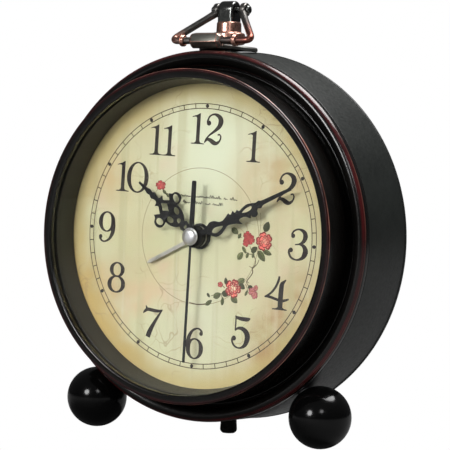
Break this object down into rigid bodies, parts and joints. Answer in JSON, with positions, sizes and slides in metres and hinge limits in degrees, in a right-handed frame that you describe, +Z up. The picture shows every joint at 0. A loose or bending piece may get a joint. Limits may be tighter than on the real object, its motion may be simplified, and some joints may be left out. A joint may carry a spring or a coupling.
{
  "type": "alarm clock",
  "caption": "Round quartz alarm clock: dark drum case with stepped bezel, two ball feet, folding triangular bail on a stud, vintage dial with ornate hands.",
  "frame": {"origin": "on the floor under the middle of the clock's bounding box", "axes": "+Z up, +X to the viewer's right when facing the dial, the dial faces -Y"},
  "size_m": [0.1266, 0.0464, 0.1485],
  "materials": {
    "bezel_lacquer": "gloss black lacquer rubbed to copper on its edges",
    "drum_satin": "satin black paint",
    "ball_black": "gloss black",
    "copper": "antique copper plating",
    "gunmetal": "dark antique plating",
    "lens_glass": "clear",
    "dial_print": "printed parchment",
    "hand_black": "matt black",
    "hand_silver": "satin silver",
    "black_plastic": "moulded",
    "white_plastic": "moulded",
    "brass": "machined",
    "steel": "bright zinc",
    "magnet": "sintered",
    "coil_wire": "enamelled wire",
    "board_green": "solder mask",
    "battery_wrap": "plain printed wrap",
    "rubber": "moulded"
  },
  "bodies": {
    "case": {"front_bezel": "bezel_lacquer", "lens": "lens_glass", "dial_spacer": "drum_satin", "dial": "dial_print", "dial_carrier": "black_plastic", "case_drum": "drum_satin", "back_cover": "black_plastic", "back_cover_screw_1": "steel", "back_cover_screw_2": "steel", "back_cover_screw_3": "steel", "foot_ball_left": "ball_black", "foot_ball_right": "ball_black", "foot_screw_left": "steel", "foot_screw_right": "steel", "rear_foot": "rubber", "rear_foot_screw": "steel", "handle_base_plate": "gunmetal", "handle_stud": "copper", "handle_screw": "steel", "handle_pin": "gunmetal", "movement_housing": "black_plastic", "movement_cover": "black_plastic", "movement_screw_1": "steel", "movement_screw_2": "steel", "movement_screw_3": "steel", "movement_screw_4": "steel", "gear_plate": "white_plastic", "stator": "steel", "coil": "coil_wire", "circuit_board": "board_green", "buzzer": "black_plastic", "battery": "battery_wrap", "contact_positive": "steel", "contact_negative": "steel"},
    "bail": {"bail": "gunmetal", "bail_grip": "gunmetal", "bail_collar_left": "copper", "bail_collar_right": "copper"},
    "battery_door": {"battery_door": "black_plastic"},
    "alarm_switch": {"alarm_switch": "white_plastic"},
    "seconds": {"second_hand": "hand_black", "second_hand_cap": "hand_silver", "second_wheel": "white_plastic"},
    "third": {"third_wheel": "white_plastic"},
    "centre": {"centre_wheel": "brass"},
    "intermediate": {"intermediate_wheel": "white_plastic"},
    "rotor": {"rotor": "magnet"},
    "minutes": {"minute_hand": "hand_black", "minute_pipe": "brass"},
    "minute_work": {"minute_work_wheel": "white_plastic"},
    "hours": {"hour_hand": "hand_black", "hour_wheel": "white_plastic"},
    "time_setting": {"time_knob": "black_plastic", "time_knob_gear": "white_plastic"},
    "alarm_time": {"alarm_hand": "hand_silver", "alarm_wheel": "white_plastic"},
    "alarm_setting": {"alarm_knob": "black_plastic", "alarm_knob_gear": "white_plastic"}
  },
  "joints": [
    {"name": "second_spin", "type": "hinge", "parent": "case", "child": "seconds", "pos_m": [0, -0.01025, 0.06834], "axis": [0, 1, 0], "continuous": true},
    {"name": "third_spin", "type": "hinge", "parent": "case", "child": "third", "pos_m": [0.00425, -0.01025, 0.0757], "axis": [0, 1, 0], "continuous": true},
    {"name": "centre_spin", "type": "hinge", "parent": "case", "child": "centre", "pos_m": [0, -0.01025, 0.06834], "axis": [0, 1, 0], "continuous": true},
    {"name": "intermediate_spin", "type": "hinge", "parent": "case", "child": "intermediate", "pos_m": [-0.00812, -0.01025, 0.06538], "axis": [0, 1, 0], "continuous": true},
    {"name": "rotor_spin", "type": "hinge", "parent": "case", "child": "rotor", "pos_m": [-0.01426, -0.01025, 0.06485], "axis": [0, 1, 0], "continuous": true},
    {"name": "minute_spin", "type": "hinge", "parent": "case", "child": "minutes", "pos_m": [0, -0.01025, 0.06834], "axis": [0, 1, 0], "continuous": true},
    {"name": "minute_work_spin", "type": "hinge", "parent": "case", "child": "minute_work", "pos_m": [0.00724, -0.01025, 0.0664], "axis": [0, 1, 0], "continuous": true},
    {"name": "hour_spin", "type": "hinge", "parent": "case", "child": "hours", "pos_m": [0, -0.01025, 0.06834], "axis": [0, 1, 0], "continuous": true},
    {"name": "time_knob_spin", "type": "hinge", "parent": "case", "child": "time_setting", "pos_m": [0.01648, -0.01025, 0.06477], "axis": [0, 1, 0], "continuous": true},
    {"name": "alarm_spin", "type": "hinge", "parent": "case", "child": "alarm_time", "pos_m": [0, -0.01025, 0.06834], "axis": [0, 1, 0], "continuous": true},
    {"name": "alarm_knob_spin", "type": "hinge", "parent": "case", "child": "alarm_setting", "pos_m": [-0.00551, -0.01025, 0.0762], "axis": [0, 1, 0], "continuous": true},
    {"name": "alarm_switch_slide", "type": "slide", "parent": "case", "child": "alarm_switch", "axis": [1, 0, 0], "range_m": [0, 0.004]},
    {"name": "battery_door_slide", "type": "slide", "parent": "case", "child": "battery_door", "axis": [0, 1, 0], "range_m": [0, 0.012]},
    {"name": "bail_swing", "type": "hinge", "parent": "case", "child": "bail", "pos_m": [0.0008, 0.00475, 0.14544], "axis": [-1, 0, 0], "range_deg": [0, 256]}
  ],
  "couplings": [
    {"joint": "third_spin", "follows": "second_spin", "ratio": -0.13333},
    {"joint": "centre_spin", "follows": "second_spin", "ratio": 0.016667},
    {"joint": "intermediate_spin", "follows": "second_spin", "ratio": -5},
    {"joint": "rotor_spin", "follows": "second_spin", "ratio": 30},
    {"joint": "minute_work_spin", "follows": "minute_spin", "ratio": -0.33333},
    {"joint": "hour_spin", "follows": "minute_spin", "ratio": 0.083333},
    {"joint": "time_knob_spin", "follows": "minute_spin", "ratio": 0.5},
    {"joint": "alarm_knob_spin", "follows": "alarm_spin", "ratio": -2}
  ]
}
